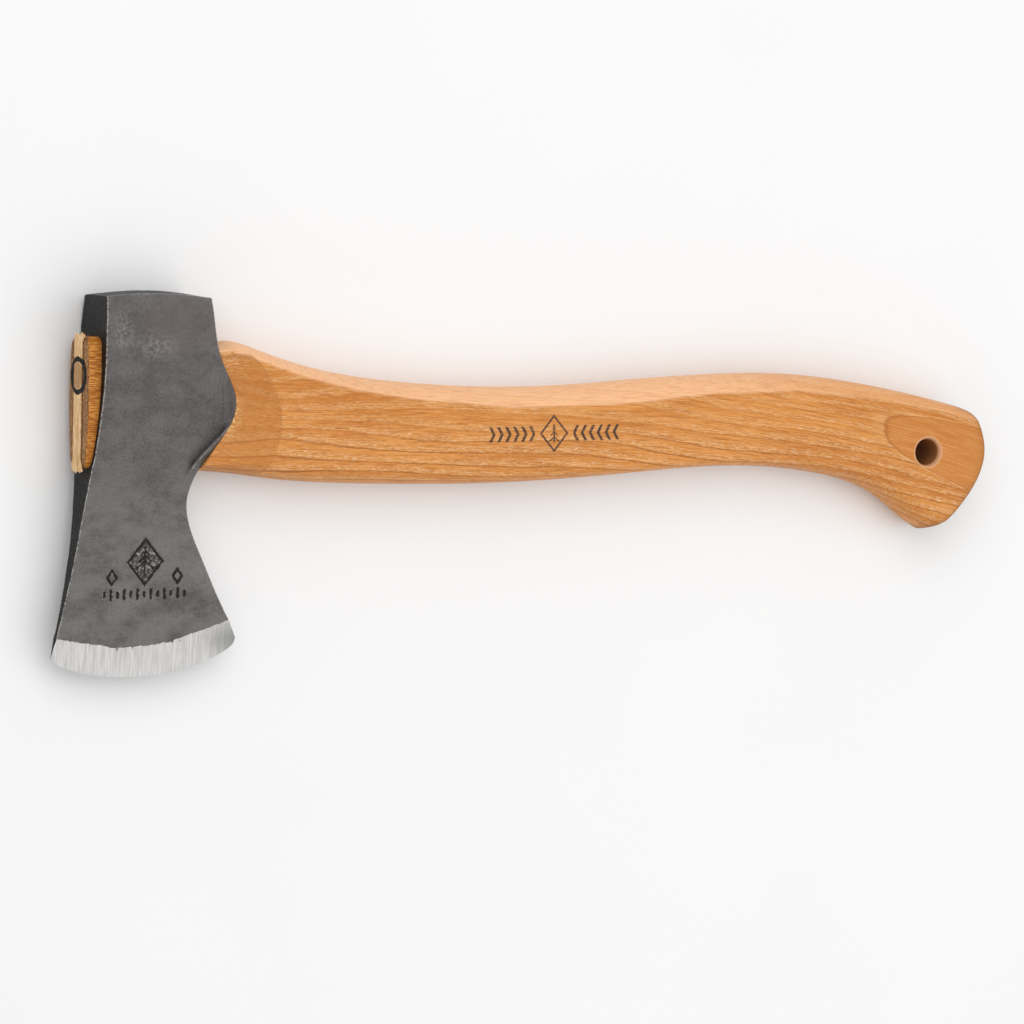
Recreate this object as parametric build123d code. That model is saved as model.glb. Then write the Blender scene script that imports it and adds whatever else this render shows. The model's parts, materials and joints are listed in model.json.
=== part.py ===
"""Carving hatchet: a forged steel head on a curved hickory handle, held by a wooden wedge and a steel ring.

Everything is drawn in the hatchet's own design frame, in millimetres: x runs along the handle from the
eye's open end to the knob, y points to the poll and z is across the blade, so z = 0 is the plane of
symmetry. The last step lays the finished hatchet on its side, the way it rests on a bench.
"""

import os

from build123d import *

# ---- Head: side outline, from the poll down to the bit ----
POLL_LEFT = (2.6, 38.9)
POLL_TOP = (23.0, 40.5)
POLL_RIGHT = (44.0, 37.7)
FRONT_EDGE = [(1.7, 27.0), (0.4, 5.0), (-1.4, -14.0), (-3.7, -31.0), (-6.6, -51.5), (-10.7, -72.5), (-16.5, -95.4)]
BACK_EDGE = [(44.9, 28.5), (46.3, 17.6), (50.0, 8.7), (54.1, -1.8), (52.0, -9.3), (45.5, -18.0), (39.8, -26.9),
             (36.6, -35.8), (37.4, -44.8), (43.9, -60.0), (49.6, -72.1), (56.2, -84.0), (59.3, -88.4)]
TOE_CORNER = [(-13.4, -97.4), (-6.0, -106.0)]
HEEL_CORNER = [(40.0, -106.5), (54.9, -93.8), (58.0, -91.0)]

# ---- Head: half thickness of the cheeks as (half thickness, y), seen from the eye's open end ----
POLL_HALF = 10.9
POLL_CROWN = 0.9
CHEEK = [(12.3, 31.5), (13.1, 22.0), (13.0, 7.0), (11.7, -6.5), (9.9, -20.0), (7.3, -31.0), (5.5, -41.0),
         (3.9, -54.0), (2.8, -67.0), (1.95, -79.0), (1.4, -92.0), (1.1, -106.0)]

# ---- Cutting edge: an arc in the plane of symmetry, ground to a bevel on both sides ----
EDGE_RADIUS = 83.7
EDGE_CENTRE = (16.7, -19.3)
BEVEL_SLOPE = 0.14
BEVEL_REACH = 16.0

# ---- Eye and the tongue of the handle that fills it ----
EYE_TOP = 24.3
EYE_BULGE_Y = 4.0
EYE_BOTTOM = -24.5
EYE_TOP_HALF = 7.3
EYE_BULGE_HALF = 9.0
EYE_BOTTOM_HALF = 6.5
EYE_CORNER = 3.6
MOUTH_X = 58.0
MOUTH_SHIFT = -3.3
MOUTH_GAIN = 0.5
TONGUE_PROUD = 4.7
TONGUE_TILT = 1.3
TONGUE_CORNER = 2.8

# ---- Handle: stations as (top point, bottom point, half thickness, cap height) ----
STATIONS = [
    ((28.0, 19.2), (28.0, -24.0), 12.9, 6.0),
    ((56.2, 21.1), (56.2, -28.2), 12.9, 6.2),
    ((72.0, 15.9), (72.0, -30.5), 12.8, 6.5),
    ((96.0, 9.1), (96.0, -32.6), 12.2, 6.9),
    ((128.0, 4.4), (128.0, -33.9), 11.4, 7.2),
    ((160.0, 2.1), (160.0, -34.4), 10.8, 7.4),
    ((192.0, 1.9), (192.0, -33.7), 10.4, 7.4),
    ((224.0, 3.5), (224.0, -32.0), 10.4, 7.3),
    ((258.0, 4.9), (255.0, -30.4), 10.6, 7.2),
    ((290.0, 4.5), (282.0, -31.1), 10.9, 7.1),
    ((319.0, 0.9), (304.0, -34.2), 11.2, 7.1),
    ((345.0, -4.4), (324.0, -41.0), 11.5, 7.1),
    ((366.0, -9.7), (341.0, -50.7), 11.6, 7.0),
    ((388.0, -15.6), (358.0, -63.0), 11.6, 6.8),
]
KNOB_END = [(362.7, -5.0), (369.7, -13.0), (373.4, -20.0), (374.6, -27.5), (372.2, -36.0), (363.7, -48.1),
            (356.3, -54.6), (349.7, -57.5), (339.0, -60.0)]
KNOB_EDGE = 1.4
SHOULDER_CENTRE = (40.3, -8.8)
SHOULDER_INNER = (14.0, 9.8)
SHOULDER_OUTER = (31.5, 12.75)

# ---- Hang hole ----
HOLE = (348.8, -26.8)
HOLE_RADIUS = 5.0
HOLE_RIM = 1.3

# ---- Wooden wedge, the saw cut it is driven into, and the steel ring ----
WEDGE_TOP = 6.4
WEDGE_TIP = 1.4
WEDGE_DEPTH = 35.0
WEDGE_PROUD = 0.5
KERF_WIDTH = 1.4
KERF_DEPTH = 43.0
RING_Y = 9.4
RING_OUTER = 7.15
RING_INNER_TOP = 5.0
RING_INNER_TIP = 6.65
RING_DEPTH = 13.0

# ---- How the hatchet lies: roll about x, then pitch about y, in degrees ----
LIE_ROLL = 0.492
LIE_PITCH = 0.208

WIDE = 40.0


def side_plate(outline):
    """Solid of a closed outline in the x-y plane, thick enough to cover the whole hatchet."""
    return Pos(0, 0, -WIDE / 2) * extrude(make_face(outline), amount=WIDE)


def head_side():
    """Everything inside the head's side outline."""
    poll = ThreePointArc(POLL_LEFT, POLL_TOP, POLL_RIGHT)
    front = Spline(POLL_LEFT, *FRONT_EDGE)
    back = Spline(POLL_RIGHT, *BACK_EDGE)
    bit = Polyline(FRONT_EDGE[-1], *TOE_CORNER, *HEEL_CORNER, BACK_EDGE[-1])
    return side_plate(poll + front + back + bit)


def head_blank():
    """The forged head with no eye: side outline, end outline and the ground bevel."""
    plane = Plane(origin=(-WIDE, 0, 0), x_dir=(0, 0, 1), z_dir=(1, 0, 0))
    top = POLL_TOP[1] - POLL_CROWN
    sides = [Spline((s * POLL_HALF, -top), *[(s * half, -y) for half, y in CHEEK]) for s in (1, -1)]
    crown = ThreePointArc((-POLL_HALF, -top), (0, -POLL_TOP[1]), (POLL_HALF, -top))
    foot_half, foot_y = CHEEK[-1]
    foot = Line((foot_half, -foot_y), (-foot_half, -foot_y))
    end = extrude(plane * make_face(sides[0] + sides[1] + crown + foot), amount=4 * WIDE)
    return (head_side() & end) - bevel_cutter()


def bevel_cutter():
    """Cutter spun about the edge arc's centre, which grinds both sides of the bit down to the edge."""
    inner = EDGE_RADIUS - BEVEL_REACH
    outer = EDGE_RADIUS + WIDE
    lift = BEVEL_REACH * BEVEL_SLOPE
    profile = Polyline(
        (EDGE_RADIUS, 0), (inner, lift), (inner, WIDE), (outer, WIDE),
        (outer, -WIDE), (inner, -WIDE), (inner, -lift), (EDGE_RADIUS, 0),
    )
    spun = revolve(Plane.XZ * make_face(profile), axis=Axis.Z, revolution_arc=100)
    return Pos(*EDGE_CENTRE, 0) * Rot(0, 0, -140) * spun


def eye_section(x, shift, gain):
    """The eye's egg-shaped outline at x: bulged sides, flat ends and rounded corners."""
    top, bulge, bottom = EYE_TOP + shift, EYE_BULGE_Y + shift, EYE_BOTTOM + shift
    top_half, bulge_half, bottom_half = EYE_TOP_HALF + gain, EYE_BULGE_HALF + gain, EYE_BOTTOM_HALF + gain
    outline = (
        ThreePointArc((top, top_half), (bulge, bulge_half), (bottom, bottom_half))
        + Line((bottom, bottom_half), (bottom, -bottom_half))
        + ThreePointArc((bottom, -bottom_half), (bulge, -bulge_half), (top, -top_half))
        + Line((top, -top_half), (top, top_half))
    )
    face = make_face(outline)
    plane = Plane(origin=(x, 0, 0), x_dir=(0, 1, 0), z_dir=(1, 0, 0))
    return plane * fillet(face.vertices(), EYE_CORNER)


def eye_space():
    """The eye's tapering space, carried past the head at both ends."""
    return loft([eye_section(-2 * TONGUE_PROUD, 0, 0), eye_section(MOUTH_X, MOUTH_SHIFT, MOUTH_GAIN)])


def beyond(proud):
    """The half space on the handle's side of the sawn end of the tongue, that far proud of the eye."""
    return Pos(-proud, 0, 0) * Rot(0, 0, -TONGUE_TILT) * Pos(2 * WIDE, 0, 0) * Box(4 * WIDE, 8 * WIDE, 2 * WIDE)


def tongue(eye):
    """The part of the handle inside the eye, sawn off just proud and rounded at its poll end."""
    blank = eye & beyond(TONGUE_PROUD)
    corner = Pos(-TONGUE_PROUD, EYE_TOP, 0) * Rot(0, 0, 45) * Box(2 * TONGUE_CORNER, 2 * TONGUE_CORNER, WIDE)
    return blank - corner


def handle_section(top, bottom, half, cap):
    """Flat-sided oval between a point of the top outline and one of the bottom outline."""
    middle = Vector((top[0] + bottom[0]) / 2, (top[1] + bottom[1]) / 2, 0)
    up = Vector(top[0] - bottom[0], top[1] - bottom[1], 0)
    flat = up.length / 2 - cap
    plane = Plane(origin=middle, x_dir=(0, 0, 1), z_dir=Vector(0, 0, 1).cross(up))
    outline = (
        Line((half, -flat), (half, flat))
        + EllipticalCenterArc((0, flat), half, cap, start_angle=0, arc_size=180)
        + Line((-half, flat), (-half, -flat))
        + EllipticalCenterArc((0, -flat), half, cap, start_angle=180, arc_size=180)
    )
    return plane * make_face(outline)


def handle_body():
    """The grip from the shoulder to the knob, with its dished shoulder and rounded end."""
    body = loft([handle_section(*station) for station in STATIONS])
    first, last = KNOB_END[0], KNOB_END[-1]
    around = Polyline(last, (0, last[1] - 10), (0, WIDE), (first[0], WIDE), first)
    body = body & side_plate(Spline(*KNOB_END) + around)
    end_edges = body.faces().sort_by(Axis.X)[-1].edges()
    body = chamfer(end_edges, KNOB_EDGE)
    return body - shoulder_cutter(1) - shoulder_cutter(-1)


def shoulder_cutter(side):
    """Shallow cone that dishes one side of the shoulder down to the eye's width."""
    (inner_r, inner_z), (outer_r, outer_z) = SHOULDER_INNER, SHOULDER_OUTER
    far_r = 3 * outer_r
    far_z = outer_z + (far_r - outer_r) * (outer_z - inner_z) / (outer_r - inner_r)
    profile = Polyline((0, inner_z), (inner_r, inner_z), (far_r, far_z), (0, far_z), close=True)
    cone = Pos(*SHOULDER_CENTRE, 0) * revolve(Plane.XZ * make_face(profile), axis=Axis.Z)
    return cone if side > 0 else mirror(cone, about=Plane.XY)


def hang_hole():
    """Cutter for the hang hole, flared at both mouths."""
    mouth = STATIONS[-2][2]
    flare = HOLE_RADIUS + HOLE_RIM
    profile = Polyline(
        (0, -WIDE / 2), (flare, -WIDE / 2), (flare, -mouth), (HOLE_RADIUS, HOLE_RIM - mouth),
        (HOLE_RADIUS, mouth - HOLE_RIM), (flare, mouth), (flare, WIDE / 2), (0, WIDE / 2), close=True,
    )
    return Pos(*HOLE, 0) * revolve(Plane.XZ * make_face(profile), axis=Axis.Z)


def ring_wedge():
    """Steel ring, tapered inside so that it spreads the wood as it is driven in."""
    start, end = -TONGUE_PROUD, RING_DEPTH - TONGUE_PROUD
    profile = Polyline(
        (start, RING_INNER_TOP), (start, RING_OUTER), (end, RING_OUTER), (end, RING_INNER_TIP), close=True
    )
    return Pos(0, RING_Y, 0) * revolve(make_face(profile), axis=Axis.X)


def wedge_blank():
    """The wooden wedge before it is trimmed to the eye and the ring is driven through it."""
    start = -2 * TONGUE_PROUD
    tip = WEDGE_DEPTH - TONGUE_PROUD
    grow = (WEDGE_TOP - WEDGE_TIP) / WEDGE_DEPTH
    half_start, half_tip = WEDGE_TOP / 2 + grow * TONGUE_PROUD / 2, WEDGE_TIP / 2
    profile = Polyline((start, half_start), (start, -half_start), (tip, -half_tip), (tip, half_tip), close=True)
    face = Plane(origin=(0, 0, 0), x_dir=(1, 0, 0), z_dir=(0, -1, 0)) * make_face(profile)
    return extrude(face, amount=WIDE, both=True)


def kerf():
    """Saw cut that runs on past the wedge's tip."""
    return Pos(KERF_DEPTH / 2 - TONGUE_PROUD, 0, 0) * Box(KERF_DEPTH, 2 * WIDE, KERF_WIDTH)


def build():
    """Every node of the hatchet in the design frame."""
    eye = eye_space()
    ring = ring_wedge()
    wedge = wedge_blank()
    grip = handle_body() - head_side() - hang_hole()
    return {
        "head": head_blank() - eye,
        "handle": (tongue(eye) + grip) - wedge - kerf() - ring,
        "eye_wedge": (wedge & eye & beyond(TONGUE_PROUD + WEDGE_PROUD)) - ring,
        "ring_wedge": ring,
    }


def main():
    os.makedirs("parts", exist_ok=True)
    nodes = {name: Rot(0, LIE_PITCH, 0) * Rot(LIE_ROLL, 0, 0) * shape for name, shape in build().items()}
    box = Compound(list(nodes.values())).bounding_box()
    rest = Pos(-box.center().X, -box.center().Y, -box.min.Z)
    for name, shape in nodes.items():
        laid = rest * shape
        print(name, round(laid.volume / 1000, 2), "cm3, solids", len(laid.solids()), "valid", laid.is_valid)
        export_step(laid, f"parts/{name}.step")
    print("size", [round(v, 2) for v in box.size], "moved by", [round(v, 3) for v in rest.position])


main()
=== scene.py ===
"""Looks of the carving hatchet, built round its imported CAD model.

Pieces are shaped in the hatchet's design frame, in millimetres: x along the handle towards the knob,
y towards the poll, z across the blade. One matrix then lays them where the CAD model lies.
"""

import json
import math

import bmesh
import bpy
import numpy as np
from mathutils import Matrix, Vector, noise


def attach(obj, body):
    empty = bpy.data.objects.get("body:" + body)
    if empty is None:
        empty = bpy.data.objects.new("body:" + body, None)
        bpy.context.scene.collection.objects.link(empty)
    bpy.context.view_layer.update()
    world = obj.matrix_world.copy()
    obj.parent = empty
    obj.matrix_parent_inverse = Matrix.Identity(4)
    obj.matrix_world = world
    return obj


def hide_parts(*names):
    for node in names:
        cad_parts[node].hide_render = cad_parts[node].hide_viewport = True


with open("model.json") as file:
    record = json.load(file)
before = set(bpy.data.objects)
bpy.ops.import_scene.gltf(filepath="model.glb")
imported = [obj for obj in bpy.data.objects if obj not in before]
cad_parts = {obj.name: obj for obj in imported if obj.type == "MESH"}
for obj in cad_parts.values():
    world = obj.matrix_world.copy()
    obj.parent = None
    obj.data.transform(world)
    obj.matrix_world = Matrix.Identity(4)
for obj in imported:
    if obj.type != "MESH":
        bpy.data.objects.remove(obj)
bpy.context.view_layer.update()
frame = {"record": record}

MM = 0.001
WELD = 2e-3  # millimetres: points nearer than this become one
SLIVER = 1e-7  # metres: shorter edges are dissolved
SHARP_ANGLE = math.radians(35)
NOISE_GAIN = 1.3
HEAD_MASKS = ("ground", "rim_and_highlight", "stamp", "hollow_shade", "scale")
WOOD_MASKS = ("end", "tongue", "crest", "dish", "knob_end_and_edge_shade", "lip")

# How the hatchet lies: the same turn as in the CAD model, placed by its hang hole.
LIE_ROLL = math.radians(0.492)
LIE_PITCH = math.radians(0.208)
HOLE = (348.8, -26.8)


def design_to_model():
    """The matrix that takes the design frame, in metres, to where the CAD model lies."""
    turn = Matrix.Rotation(LIE_PITCH, 3, "Y") @ Matrix.Rotation(LIE_ROLL, 3, "X")
    hole = next(m for m in frame["record"]["mounts"] if m["name"] == "hang_hole")
    shift = Vector(hole["pos_m"]) - turn @ Vector((HOLE[0] * MM, HOLE[1] * MM, 0))
    return Matrix.Translation(shift) @ turn.to_4x4()


LAID = design_to_model()

# ---- curves ----


def evened(line, count):
    """The line with its points spaced evenly by length."""
    length = np.concatenate([[0], np.cumsum(np.linalg.norm(np.diff(line, axis=0), axis=1))])
    even = np.linspace(0, length[-1], count)
    return np.stack([np.interp(even, length, line[:, i]) for i in range(line.shape[1])], 1)


def spline(points, count=600):
    """Smooth curve through the points: natural cubics over chord length, evenly spaced by length."""
    p = np.array(points, float)
    t = np.concatenate([[0], np.cumsum(np.linalg.norm(np.diff(p, axis=0), axis=1))])
    n, h = len(p), np.diff(t)
    a, rhs = np.eye(n), np.zeros((n, p.shape[1]))
    for i in range(1, n - 1):
        a[i, i - 1], a[i, i], a[i, i + 1] = h[i - 1], 2 * (h[i - 1] + h[i]), h[i]
        rhs[i] = 6 * ((p[i + 1] - p[i]) / h[i] - (p[i] - p[i - 1]) / h[i - 1])
    m = np.linalg.solve(a, rhs)
    u = np.linspace(0, t[-1], 4 * count)
    k = np.clip(np.searchsorted(t, u, "right") - 1, 0, n - 2)
    left, right, hk = (u - t[k])[:, None], (t[k + 1] - u)[:, None], h[k][:, None]
    fine = (m[k] * right**3 + m[k + 1] * left**3) / (6 * hk)
    fine += (p[k] / hk - m[k] * hk / 6) * right + (p[k + 1] / hk - m[k + 1] * hk / 6) * left
    return evened(fine, count)


def along(line, fraction):
    """Points of an evenly spaced line at fractions from 0 to 1."""
    at = np.linspace(0, 1, len(line))
    return np.stack([np.interp(fraction, at, line[:, i]) for i in range(line.shape[1])], -1)


def by_height(line, y):
    """x of a line that always falls, at heights y."""
    return np.interp(-y, -line[:, 1], line[:, 0])


def distance(points, line, chunk=40):
    """Distance from each point of an array to the nearest point of a dense line, taken in chunks."""
    flat = points.reshape(-1, 2)
    best = np.full(len(flat), 1e9)
    for start in range(0, len(line), chunk):
        part = line[start : start + chunk]
        best = np.minimum(best, ((flat[:, None] - part[None]) ** 2).sum(-1).min(1))
    return np.sqrt(best).reshape(points.shape[:-1])


def smooth(x, low, high):
    """0 up to low and 1 from high on, eased between them."""
    t = np.clip((x - low) / (high - low), 0, 1)
    return t * t * (3 - 2 * t)


def fillet_drop(d, radius):
    """How far a surface falls at distance d from a rounded edge."""
    e = np.clip(radius - d, 0, radius)
    return radius - np.sqrt(np.maximum(radius**2 - e**2, 0))


def patch(sides, corners, over, down):
    """Points between top, bottom, left and right sides that meet at four corners: a Coons patch."""
    top, bottom, left, right = sides
    mixed = (1 - down) * top + down * bottom
    mixed = mixed + (1 - over) * left + over * right
    upper = (1 - over) * corners[0] + over * corners[1]
    lower = (1 - over) * corners[2] + over * corners[3]
    return mixed - ((1 - down) * upper + down * lower)


def rough(points, size, octaves=3, seed=0.0):
    """Fractal noise, about -1 to 1, at points in millimetres with bumps of the given size."""
    flat = points.reshape(-1, points.shape[-1])
    z = flat[:, 2] if flat.shape[1] > 2 else np.zeros(len(flat))
    values = [
        noise.fractal(Vector((x / size + seed, y / size, w / size)), 1.0, 2.0, octaves)
        for x, y, w in zip(flat[:, 0], flat[:, 1], z)
    ]
    values = np.array(values).reshape(points.shape[:-1])
    return np.clip((values - values.mean()) * NOISE_GAIN, -1, 1)


def raised(plan, z):
    """Points of a plan at depth z across the blade."""
    return np.concatenate([plan, np.broadcast_to(z, plan.shape[:2])[..., None]], -1)


def bridge(line, low, high, count):
    """Face over a line, from depth low to depth high, and the way across it from 0 to 1."""
    k = np.linspace(0, 1, count)[None, :]
    z = low[:, None] * (1 - k) + high[:, None] * k
    return np.stack([line[:, :1] + 0 * k, line[:, 1:2] + 0 * k, z], -1), k


# ---- meshes ----


def add_object(name, data):
    obj = bpy.data.objects.new(name, data)
    bpy.context.scene.collection.objects.link(obj)
    return obj


def piece(name, grids, attributes=()):
    """Object from grids of points in millimetres, welded where they meet.

    Each grid is (points, {attribute: values}); an attribute that a grid leaves out is 0 there.
    """
    co, faces, values = [], [], {a: [] for a in attributes}
    base = 0
    for points, extra in grids:
        rows, cols = points.shape[:2]
        co.append(points.reshape(-1, 3))
        index = base + np.arange(rows * cols).reshape(rows, cols)
        quads = np.stack([index[:-1, :-1], index[1:, :-1], index[1:, 1:], index[:-1, 1:]], -1)
        faces.append(quads.reshape(-1, 4))
        for a in attributes:
            values[a].append(np.broadcast_to(extra.get(a, 0.0), (rows, cols)).reshape(-1))
        base += rows * cols
    co, faces = np.concatenate(co), np.concatenate(faces)
    mesh = bpy.data.meshes.new(name)
    mesh.from_pydata((co * MM).tolist(), [], faces.tolist())
    for a in attributes:
        layer = mesh.attributes.new(a, "FLOAT", "POINT")
        layer.data.foreach_set("value", np.concatenate(values[a]).astype(np.float32))
    bm = bmesh.new()
    bm.from_mesh(mesh)
    bmesh.ops.remove_doubles(bm, verts=bm.verts, dist=WELD * MM)
    bmesh.ops.dissolve_degenerate(bm, edges=bm.edges, dist=SLIVER)
    bmesh.ops.recalc_face_normals(bm, faces=bm.faces)
    bm.to_mesh(mesh)
    bm.free()
    return add_object(name, mesh)


def boolean(obj, tool, operation="DIFFERENCE"):
    """Applies a boolean between two closed meshes and removes the tool."""
    modifier = obj.modifiers.new("cut", "BOOLEAN")
    modifier.operation, modifier.solver, modifier.object = operation, "MANIFOLD", tool
    bpy.context.view_layer.update()
    mesh = bpy.data.meshes.new_from_object(obj.evaluated_get(bpy.context.evaluated_depsgraph_get()))
    obj.modifiers.clear()
    old, obj.data = obj.data, mesh
    bpy.data.meshes.remove(old)
    bpy.data.objects.remove(tool)
    return obj


def settle(obj, node, material):
    """Shades a piece, lays it where the CAD model lies and lets it stand for its CAD node."""
    obj.data.materials.clear()
    obj.data.materials.append(material)
    obj.data.transform(LAID)
    obj.data.shade_smooth()
    obj.data.set_sharp_from_angle(angle=SHARP_ANGLE)
    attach(obj, "root")
    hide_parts(node)


# ---- head ----

# Outline: the poll's two corners, the bit's toe and heel, and the lines between them.
POLL_LEFT, POLL_RIGHT = (2.6, 38.9), (44.4, 37.6)
TOE, HEEL = (-16.49, -95.4), (58.5, -89.6)
FRONT_EDGE = [POLL_LEFT, (1.7, 27.0), (0.4, 5.0), (-1.4, -14.0), (-3.7, -31.0), (-6.6, -51.5),
              (-10.7, -72.5), TOE]
BACK_EDGE = [POLL_RIGHT, (45.2, 28.5), (46.8, 17.6), (50.7, 8.7), (54.6, -1.6), (52.6, -9.4), (46.3, -18.4),
             (40.2, -27.1), (36.6, -35.8), (37.4, -44.8), (43.9, -60.0), (49.6, -72.1), (56.0, -84.6), HEEL]
CUTTING_EDGE = [TOE, (-14.0, -97.2), (-7.2, -99.9), (5.0, -102.3), (17.0, -102.9), (30.0, -102.0),
                (43.0, -99.1), (51.0, -96.0), (55.4, -93.6), (57.6, -91.7), HEEL]
POLL_RISE = 1.3
POLL_CROWN = 0.9

# Thickness: (half width, height) down a cheek, and the line where the ground bevel begins.
CHEEK = [(10.9, 39.7), (12.3, 31.5), (13.08, 22.0), (13.0, 7.0), (11.7, -6.5), (9.9, -20.0), (7.3, -31.0),
         (5.5, -41.0), (3.9, -54.0), (2.8, -67.0), (1.95, -79.0), (1.4, -92.0), (1.1, -106.0)]
GRIND_LINE = [(-19.0, -86.4), (-14.4, -87.3), (-9.2, -88.2), (-3.2, -89.3), (2.9, -90.0), (10.1, -90.2),
              (17.0, -89.9), (27.1, -89.1), (37.3, -87.6), (47.5, -84.9), (55.2, -82.4), (62.0, -79.4)]
GRIND_RANGE = 10
BEVEL_SLOPE = 0.14
EDGE_HALF = 0.03

# Forged form: the lug behind the eye, its lower flange, the scalloped step above and the hammered skin.
LUG_Y, LUG_SPREAD, LUG_ROLL = -3, 18, 0.9
FLANGE_SLOPE, HOLLOW_DEPTH = 0.4, 0.9
SCALLOP_Y, SCALLOP_SWING, SCALLOP_PITCH, SCALLOP_STEP = 11.3, 1.3, 5.2, 0.13
RELIEF = 0.2
STAMP, STAMP_DEPTH = (20.7, -60.0), 0.38

# How much black scale, deepened with painted shade, the front, the poll and the back keep; then the mesh's
# columns and points across.
FRONT_SCALE_AND_SHADE, POLL_SCALE_AND_SHADE, BACK_SCALE_AND_SHADE = 1.0, 0.85, 0.3
HEAD_COLUMNS, HEAD_ACROSS = 230, 31


def motif(p, centre):
    """Depth, 0 to 1, of the pressed motif: a lozenge round a fir tree, two diamonds and a row of notches."""
    x, y = p[..., 0] - centre[0], p[..., 1] - centre[1]

    def bar(ax, ay, bx, by, half=0.42):
        """A round-ended stroke between two points."""
        dx, dy = bx - ax, by - ay
        t = np.clip(((x - ax) * dx + (y - ay) * dy) / (dx * dx + dy * dy), 0, 1)
        return 1 - smooth(np.hypot(x - ax - t * dx, y - ay - t * dy), half * 0.6, half * 1.4)

    lozenge = np.abs(x) / 6.9 + np.abs(y) / 8.4
    outline = 1 - smooth(np.abs(lozenge - 1) * 5.3, 0.35, 0.7)
    field = 0.45 * (1 - smooth(lozenge, 0.85, 1.0))
    strokes = [outline, field, bar(0, -5.0, 0, 5.2)]
    for level, reach in ((3.2, 1.6), (1.0, 2.5), (-1.3, 3.3)):
        for side in (-1, 1):
            strokes.append(bar(0, level + 0.45 * reach, side * reach, level - 0.35 * reach))
    for side in (-1, 1):
        diamond = np.abs(x - side * 13.2) / 1.9 + np.abs(y + 5.6) / 2.6
        strokes.append(1 - smooth(np.abs(diamond - 1), 0.22, 0.5))
    for step in range(-6, 7):
        reach = 1.6 if step % 2 else 0.8
        strokes.append(bar(step * 2.7, -12.0 - reach, step * 2.7, -12.0 + reach, 0.62))
    return np.max(strokes, axis=0)


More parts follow.
